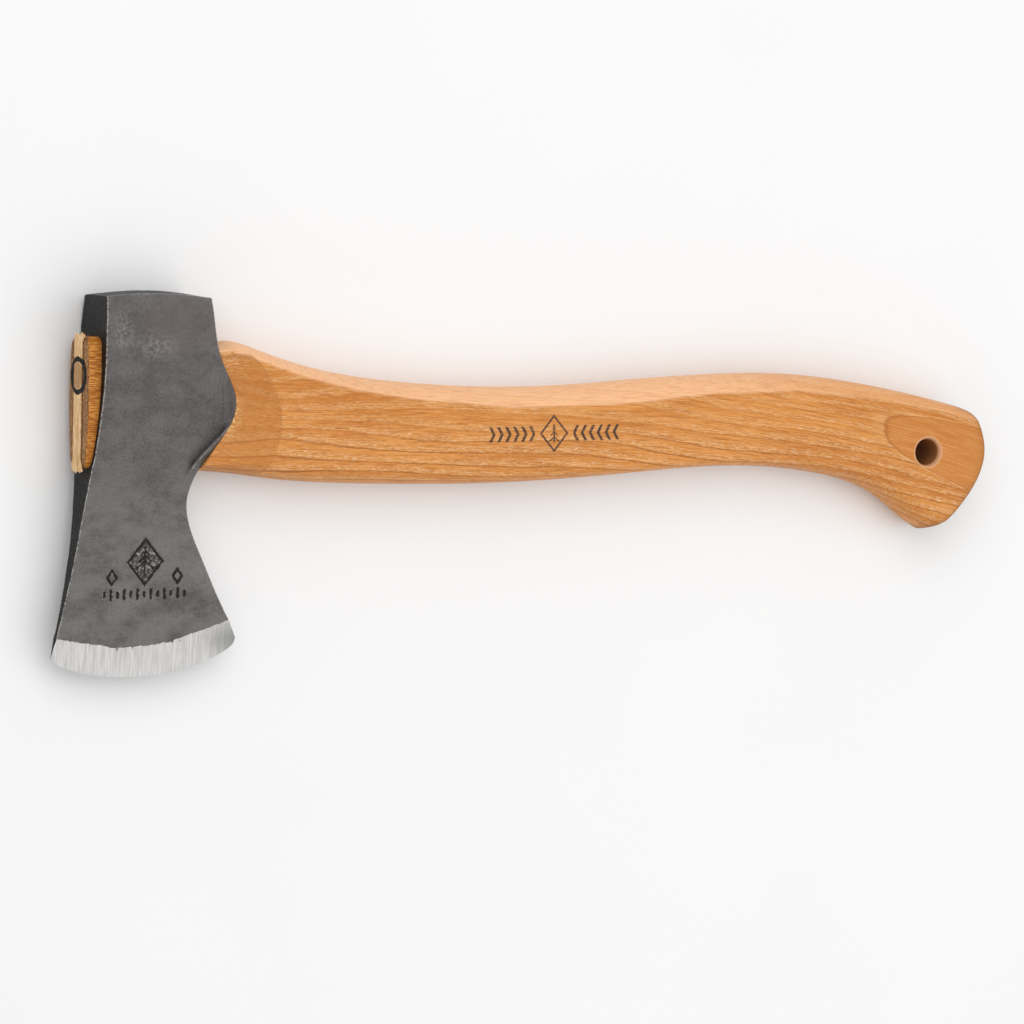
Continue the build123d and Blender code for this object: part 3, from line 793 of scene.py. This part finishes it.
def steel_material():
    """Forged steel with a dark patina, painted shade, glints and reflections, worn bright on its rims and
    ground to a polished bevel.
    """
    n = Nodes("forged_steel")
    broad = n.noise(n.place((0.075, 0.10, 0.10)), 1.0, 6, 0.66)
    fine = n.noise(n.design, 0.8, 6, 0.66)
    grit = n.noise(n.place((2.0, 1.3, 1.6)), 1.0, 3, 0.6)
    reflection_streaks = n.noise(n.place((1.5, 0.10, 1.0)), 1.0, 4, 0.6)
    pits = n.add("ShaderNodeTexVoronoi", {"Vector": n.design, "Scale": 0.5}).outputs["Distance"]

    # Patina: broad clouds, specks of dark grit, pits, and light specks that are painted glints.
    patina = n.mix(n.span(broad, 0.36, 0.64), STEEL_DARK, STEEL_LIGHT)
    patina = n.mix(n.times(n.span(fine, 0.46, 0.66), 0.45), patina, (0.235, 0.220, 0.208))
    patina = n.mix(n.times(n.span(grit, 0.50, 0.68), 0.35), patina, (0.055, 0.050, 0.048))
    patina = n.mix(n.times(n.span(pits, 0.20, 0.06), 0.55), patina, (0.040, 0.037, 0.035))
    patina = n.mix(n.times(n.span(grit, 0.40, 0.30), 0.45), patina, (0.34, 0.325, 0.31))

    # A warmer poll, three patches (two of painted sheen below the poll, one rubbed bare by the stamp), a
    # lighter bit, and painted dark reflections streaked down the lug's roll.
    patina = n.mix(n.times(n.near((30, 28, 13), (24, 17, 30)), 0.5), patina, (0.192, 0.160, 0.155))
    sheen_and_rubbed_patches = n.larger(n.near((21, 20, 13), (15, 6.5, 30)), n.near((8, 25, 13), (6, 12, 30)))
    sheen_and_rubbed_patches = n.larger(sheen_and_rubbed_patches, n.times(n.near((46, -66, 3), (9, 7, 30)), 0.7))
    patina = n.mix(n.times(sheen_and_rubbed_patches, n.span(fine, 0.40, 0.62), 0.75), patina, SHEEN_AND_RUBBED_STEEL)
    bit = n.span(n.axes()[1], -20.0, -48.0)
    patina = n.mix(n.times(bit, n.span(broad, 0.30, 0.60), 0.45), patina, (0.30, 0.288, 0.276))
    lug_reflection = n.near((52, -2, 12), (17, 24, 40))
    patina = n.mix(n.times(lug_reflection, n.span(reflection_streaks, 0.35, 0.65), 0.6), patina, (0.075, 0.074, 0.074))

    # The pressed motif is dark with painted glints on its rims; the end faces keep their black scale,
    # deepened with painted shade.
    pressed = n.attribute("stamp")
    patina = n.mix(n.times(n.span(pressed, 0.18, 0.62), 0.92), patina, (0.018, 0.017, 0.016))
    glint = n.times(pressed, n.rest(pressed), n.span(fine, 0.48, 0.62), 3.2)
    patina = n.mix(glint, patina, (0.50, 0.49, 0.47))
    scale_and_shade_colour = n.mix(n.span(fine, 0.42, 0.72), (0.003, 0.003, 0.003), (0.026, 0.024, 0.022))
    patina = n.mix(n.attribute("scale"), patina, scale_and_shade_colour)
    # Rims worn bright, and a painted highlight along the flange's ridge.
    worn_and_highlight = n.span(n.times(n.attribute("rim_and_highlight"), n.span(fine, 0.36, 0.56, 0.35, 1.0)), 0.40, 0.75)
    patina = n.mix(worn_and_highlight, patina, WORN_AND_HIGHLIGHT_STEEL)
    # Painted shade in the hollow inside the flange's ridge.
    patina = n.mix(n.times(n.attribute("hollow_shade"), 0.8), patina, (0.030, 0.029, 0.028))

    # The bevel, its upper edge ragged and nicked, with grinding lines and painted shade darkening the heel.
    ragged = n.times(n.minus(n.noise(n.place((0.5, 0.35, 0.35)), 1.0, 5, 0.7), 0.5), 1.8)
    nicks = n.times(n.span(n.noise(n.place((0.9, 0.35, 0.5)), 1.0, 2, 0.5), 0.62, 0.72), -1.3)
    bright = n.span(n.plus(n.attribute("ground"), n.plus(ragged, nicks)), -0.08, 0.12)
    lines = n.noise(n.place((1.1, 0.07, 0.2)), 1.0, 6, 0.7)
    polish = n.mix(n.span(lines, 0.34, 0.66), POLISH_DARK, POLISH_LIGHT)
    polish = n.mix(n.times(n.near((60, -90, 0), (22, 11, 30)), 0.75), polish, (0.17, 0.17, 0.165))
    colour = n.mix(bright, patina, polish)

    roughness = n.blend(bright, n.span(fine, 0.3, 0.7, 0.36, 0.54), n.span(lines, 0.2, 0.8, 0.42, 0.55))
    metallic = n.blend(bright, 0.5, 0.35)
    relief = n.times(n.plus(n.times(fine, 0.75), n.times(grit, 0.35)), n.rest(bright))
    normal = n.bump(relief, 1.0, 1.7)
    normal = n.bump(n.times(lines, bright), 0.15, 0.03, normal)
    return n.finish(colour, roughness, metallic, normal, Specular_IOR_Level=0.3)


MARK_CENTRE = (186.6, -15.9, 0)
MARK_LOZENGE = (5.6, 6.6)
TIER_PITCH, CHEVRON_PITCH = 1.9, 3.4


def burnt_mark(n):
    """Mask of the generic burnt mark: a fir tree in a lozenge between two rows of chevrons."""
    x, y, z = n.axes(n.vector("SUBTRACT", n.design, MARK_CENTRE))
    wide, high = n.absolute(x), n.absolute(y)

    def within(value, limit, soft=0.18):
        return n.span(value, limit + soft, limit - soft)

    def stripes(value, pitch, part, soft):
        """Even stripes that reach this part of a pitch to either side of their middles."""
        return within(n.absolute(n.minus(n.math("FRACT", n.times(value, 1 / pitch)), 0.5)), part, soft)

    lozenge = n.plus(n.times(wide, 1 / MARK_LOZENGE[0]), n.times(high, 1 / MARK_LOZENGE[1]))
    frame_line = within(n.absolute(n.minus(lozenge, 1.0)), 0.09, 0.035)
    trunk = n.times(within(wide, 0.36), within(high, 3.4))
    slant = n.plus(y, n.times(wide, 0.75))
    cone = within(n.plus(wide, n.times(y, 0.32)), 1.3, 0.2)
    crown = n.times(cone, within(n.absolute(n.minus(slant, 0.3)), 3.1))
    tree = n.larger(trunk, n.times(stripes(n.plus(slant, 10.0), TIER_PITCH, 0.17, 0.08), crown))
    chevrons = stripes(n.minus(wide, n.times(high, 0.55)), CHEVRON_PITCH, 0.19, 0.05)
    row = n.times(chevrons, within(high, 2.9), within(n.absolute(n.minus(wide, 18.2)), 10.0))
    patchy = n.span(n.noise(n.design, 2.2, 3, 0.6), 0.28, 0.48)
    return n.times(n.larger(n.larger(frame_line, tree), row), patchy, n.span(z, 2.0, 4.0))


WOOD_DARK, WOOD_LIGHT = (0.57, 0.198, 0.032), (0.70, 0.278, 0.058)
WOOD_CREST_HIGHLIGHT, WOOD_PORE = (0.98, 0.57, 0.32), (0.92, 0.62, 0.36)
WOOD_LINE, WOOD_FIGURE = (0.36, 0.115, 0.016), (0.36, 0.110, 0.016)
WOOD_BURNT = (0.022, 0.019, 0.020)
RING_PITCH = 4.3
ARCH_APEX, ARCH_WIDTH = (329.0, -17.0), 7.5
CURVE_START, CURVE_GAIN = 210.0, 0.00085
GRAIN_SLOPE = 0.045


def wood_material():
    """Oiled hickory: growth rings with open pores, a painted highlight along the top, darker in the dished
    shoulder, painted shade in its creases, along the knob's edge and in the hang hole.
    """
    n = Nodes("hickory")
    x, y, z = n.axes()

    # Growth rings follow a long bend; round the hang hole they close into an arch, plain within.
    warp = n.noise(n.place((0.0055, 0.030, 0.05)), 1.0, 1, 0.4)
    curl = n.noise(n.place((0.03, 0.3, 0.2)), 1.0, 2, 0.5)
    past = n.larger(n.minus(x, CURVE_START), 0.0)
    bend = n.plus(n.times(x, GRAIN_SLOPE), n.times(past, past, CURVE_GAIN))
    depth = n.plus(y, bend, n.times(z, 0.4), n.plus(n.times(warp, 30.0), n.times(curl, 1.6)))
    ring = n.math("FRACT", n.times(depth, 1 / RING_PITCH))
    edge_line = n.larger(n.span(ring, 0.10, 0.02), n.span(ring, 0.90, 0.99))
    porous = n.times(n.span(ring, 0.02, 0.12), n.span(ring, 0.72, 0.30))
    from_apex = n.minus(x, ARCH_APEX[0])
    across = n.absolute(n.plus(y, -ARCH_APEX[1], n.times(from_apex, 0.33)))
    sweep = n.times(n.math("POWER", n.times(across, 1 / ARCH_WIDTH), 3.0), 8.0)
    arch = n.minus(n.plus(from_apex, n.times(curl, 5.0)), sweep)
    plain = n.span(arch, 1.8, 3.4)
    level = n.plus(y, n.times(x, 0.03))
    low_face = n.span(level, -6.0, -18.0, 0.30, 1.0)
    upper = n.span(level, -5.0, -14.0, 0.65, 1.0)

    along_grain = n.add("ShaderNodeCombineXYZ", {0: x, 1: n.plus(y, bend), 2: z}).outputs[0]
    flecks = n.noise(n.place((0.42, 4.2, 4.2), along_grain), 1.0, 2, 0.6)
    fibre = n.noise(n.place((0.08, 2.4, 2.4), along_grain), 1.0, 5, 0.7)
    broad = n.noise(n.place((0.012, 0.08, 0.08), along_grain), 1.0, 3, 0.5)
    crest, dish, tongue = n.attribute("crest"), n.attribute("dish"), n.attribute("tongue")

    # Ground colour, a painted highlight on the band along the back, and the figure of the arch.
    colour = n.mix(n.span(broad, 0.35, 0.65), WOOD_DARK, WOOD_LIGHT)
    colour = n.mix(n.times(porous, 0.4), colour, (0.70, 0.335, 0.105))
    colour = n.mix(n.times(crest, n.span(x, 330.0, 240.0, 0.35, 0.8)), colour, WOOD_CREST_HIGHLIGHT)
    colour = n.mix(n.times(plain, 0.8), colour, (0.58, 0.215, 0.046))
    colour = n.mix(n.times(plain, n.span(arch, 6.0, 2.5), 0.75), colour, WOOD_FIGURE)
    outside = n.times(n.span(arch, -5.0, 1.0), n.rest(plain), n.span(x, 312.0, 322.0), 0.4)
    colour = n.mix(outside, colour, (0.80, 0.41, 0.15))

    # Fibres, growth lines and painted shade in the crease below the band.
    soften = n.times(n.blend(plain, 0.75, 0.35), n.blend(crest, 1.0, 0.45))
    colour = n.mix(n.times(n.span(fibre, 0.46, 0.64), soften), colour, (0.38, 0.120, 0.018))
    colour = n.mix(n.times(n.span(fibre, 0.47, 0.34), 0.35), colour, (0.84, 0.45, 0.18))
    grain = n.times(edge_line, low_face, n.span(broad, 0.40, 0.6, 0.45, 0.95), n.rest(plain))
    colour = n.mix(n.times(grain, n.blend(crest, 1.0, 0.35)), colour, WOOD_LINE)
    crease_shade = n.times(crest, n.rest(crest), 4.0)
    colour = n.mix(n.times(crease_shade, 0.18), colour, (0.34, 0.13, 0.03))

    # The dished shoulder, with painted shade in the crease of the arc at its edge, and saw marks beside the
    # head.
    colour = n.mix(n.times(dish, 0.5), colour, (0.46, 0.165, 0.034))
    arc_shade = n.times(dish, n.rest(dish), n.span(y, -22.0, 4.0, 1.0, 3.0))
    colour = n.mix(n.times(arc_shade, n.span(broad, 0.40, 0.6, 0.15, 0.55)), colour, (0.26, 0.09, 0.02))
    saw = n.span(n.noise(n.place((0.35, 1.6, 1.0)), 1.0, 3, 0.6), 0.50, 0.62)
    colour = n.mix(n.times(n.near((51, 13.5, 10), (10, 7, 30)), saw, 0.6), colour, (0.90, 0.60, 0.34))

    # Open pores, and fibres torn pale where the wood meets the steel.
    open_pores = n.times(n.span(flecks, 0.51, 0.62), n.plus(n.times(porous, 0.7), 0.3), upper)
    open_pores = n.times(open_pores, n.rest(n.times(plain, 0.85)))
    open_pores = n.times(open_pores, n.rest(n.times(dish, 0.65)))
    colour = n.mix(n.times(open_pores, 0.62), colour, WOOD_PORE)
    torn = n.span(n.noise(n.place((0.7, 1.6, 1.0)), 1.0, 3, 0.6), 0.46, 0.56)
    torn = n.times(n.near((54, -9, 10), (9, 14, 30)), torn)
    colour = n.mix(n.times(n.attribute("lip"), torn, 1.2), colour, (0.88, 0.60, 0.26))

    # Sawn wood: the ridged tongue, the knob's face with painted shade along its rounded edge, and the end
    # grain split beside the wedge.
    ridges = n.noise(n.place((0.30, 2.1, 0.4)), 1.0, 3, 0.6)
    sawdust = n.noise(n.place((1.5, 1.1, 2.2)), 1.0, 4, 0.75)
    sawn_side = n.mix(n.span(ridges, 0.42, 0.66), (0.36, 0.110, 0.012), (0.70, 0.30, 0.06))
    colour = n.mix(tongue, colour, sawn_side)
    knob_face_and_edge_shade = n.mix(n.span(sawdust, 0.38, 0.66), (0.15, 0.055, 0.014), (0.36, 0.165, 0.050))
    colour = n.mix(n.times(n.attribute("knob_end_and_edge_shade"), 0.85), colour, knob_face_and_edge_shade)
    end_grain = n.mix(n.span(sawdust, 0.38, 0.62), (0.10, 0.042, 0.012), (0.56, 0.285, 0.10))
    split = n.noise(n.place((1.0, 0.10, 2.0)), 1.0, 4, 0.6)
    end_grain = n.mix(n.times(n.span(split, 0.48, 0.60), 0.65), end_grain, (0.095, 0.036, 0.010))
    joint = n.span(n.absolute(z), WEDGE_HALF + 1.5, WEDGE_HALF + 0.5)
    joint = n.times(joint, n.span(split, 0.60, 0.44, 0.4, 1.0))
    end_grain = n.mix(n.times(joint, 0.85), end_grain, (0.055, 0.022, 0.008))
    colour = n.mix(n.attribute("end"), colour, end_grain)

    # The hang hole: a pale sanded rim that is partly a painted highlight, round a bore that is stained and
    # darkened with painted shade.
    hole_x, hole_y, _ = n.axes(n.vector("SUBTRACT", n.design, (*HOLE, 0)))
    from_hole = n.radius(hole_x, hole_y)
    rim_and_highlight = n.span(from_hole, HOLE_RADIUS + 1.5, HOLE_RADIUS + 1.1)
    colour = n.mix(n.times(rim_and_highlight, 0.55), colour, (0.80, 0.49, 0.30))
    stained_shaded_bore = n.span(from_hole, HOLE_RADIUS + 0.25, HOLE_RADIUS + 0.05)
    colour = n.mix(stained_shaded_bore, colour, (0.34, 0.145, 0.05))

    mark = burnt_mark(n)
    colour = n.mix(n.times(mark, 0.93), colour, WOOD_BURNT)
    roughness = n.plus(n.span(fibre, 0.3, 0.7, 0.40, 0.52), n.times(open_pores, 0.15))
    height = n.plus(n.times(fibre, 0.4), n.times(open_pores, -0.5), n.times(mark, -0.8))
    height = n.plus(height, n.times(tongue, ridges, 1.5))
    return n.finish(colour, roughness, 0.0, n.bump(height, 0.35, 0.15), Specular_IOR_Level=0.2)


def wedge_material():
    """Raw pale hardwood, browner inside the steel ring."""
    n = Nodes("wedge_hardwood")
    fibre = n.noise(n.place((1.0, 0.16, 2.4)), 1.0, 4, 0.65)
    dust = n.noise(n.design, 1.8, 3, 0.6)
    colour = n.mix(n.span(fibre, 0.36, 0.62), (0.60, 0.32, 0.12), (0.95, 0.66, 0.36))
    colour = n.mix(n.times(n.span(dust, 0.52, 0.7), 0.5), colour, (0.36, 0.20, 0.08))
    _, y, z = n.axes(n.vector("SUBTRACT", n.design, (0, RING_Y, 0)))
    inside = n.span(n.radius(y, z), RING_INNER + 0.4, RING_INNER - 0.4)
    colour = n.mix(n.times(inside, 0.75), colour, (0.36, 0.18, 0.065))
    return n.finish(colour, 0.75, 0.0, n.bump(fibre, 0.6, 0.3))


def ring_material():
    """Blackened steel."""
    n = Nodes("black_steel")
    grit = n.noise(n.design, 1.6, 4, 0.6)
    colour = n.mix(grit, (0.003, 0.003, 0.004), (0.012, 0.012, 0.013))
    roughness = n.span(grit, 0.3, 0.7, 0.5, 0.7)
    return n.finish(colour, roughness, 0.0, n.bump(grit, 0.3, 0.15), Specular_IOR_Level=0.15)


# ---- pieces ----

settle(build_head(), "head", steel_material())
settle(build_handle(), "handle", wood_material())
settle(build_wedge(), "eye_wedge", wedge_material())
settle(build_ring(), "ring_wedge", ring_material())

# ---- stage, light and camera ----

CAMERA_TARGET = (173.93, -45.87, 0.0)
CAMERA_YAW, CAMERA_RISE = math.radians(26.5), math.radians(3.5)
CAMERA_DISTANCE = 2.8907
SENSOR, LENS, FAR_CLIP = 36.0, 267.8, 50
FLOOR_REACH = 6
LIGHT_SIZE, WORLD_STRENGTH = 2.2, 0.62


def add_floor():
    """Plain pale floor at z = 0."""
    floor_mesh = bpy.data.meshes.new("floor")
    corners = [(x * FLOOR_REACH, y * FLOOR_REACH, 0) for x, y in ((-1, -1), (1, -1), (1, 1), (-1, 1))]
    floor_mesh.from_pydata(corners, [], [(0, 1, 2, 3)])
    floor = add_object("floor", floor_mesh)
    n = Nodes("pale_floor")
    mottle = n.noise(n.place((0.01, 0.01, 0.01)), 1.0, 2, 0.5)
    floor_mesh.materials.append(n.finish(n.mix(mottle, (0.87, 0.87, 0.87), (0.90, 0.90, 0.90)), 0.9))


def add_light(name, place, energy):
    """Broad soft disk of light that faces the hatchet."""
    data = bpy.data.lights.new(name, "AREA")
    data.shape, data.size, data.energy = "DISK", LIGHT_SIZE, energy
    light = add_object(name, data)
    light.location = place
    light.rotation_euler = (-Vector(place)).to_track_quat("-Z", "Y").to_euler()


def add_world():
    world = bpy.data.worlds.new("studio")
    bpy.context.scene.world = world
    world.use_nodes = True
    background = world.node_tree.nodes["Background"]
    background.inputs["Color"].default_value = (1, 1, 1, 1)
    background.inputs["Strength"].default_value = WORLD_STRENGTH


def add_camera():
    """Long lens over the cheek, turned a little towards the sawn end of the handle."""
    data = bpy.data.cameras.new("camera")
    data.sensor_width, data.lens, data.clip_end = SENSOR, LENS, FAR_CLIP
    camera = add_object("camera", data)
    turn = LAID.to_3x3()
    level = math.cos(CAMERA_RISE)
    out = turn @ Vector((-math.sin(CAMERA_YAW) * level, math.sin(CAMERA_RISE), math.cos(CAMERA_YAW) * level))
    right = turn @ Vector((math.cos(CAMERA_YAW), 0, math.sin(CAMERA_YAW)))
    up = out.cross(right)
    place = LAID @ (Vector(CAMERA_TARGET) * MM) + out * CAMERA_DISTANCE
    camera.matrix_world = Matrix.Translation(place) @ Matrix((right, up, out)).transposed().to_4x4()
    bpy.context.scene.camera = camera


add_floor()
add_camera()
add_light("key", (-0.5, 1.0, 1.7), 15.5)
add_light("fill", (0.8, -0.45, 1.5), 10.5)
add_world()
bpy.context.scene.view_settings.view_transform = "Standard"
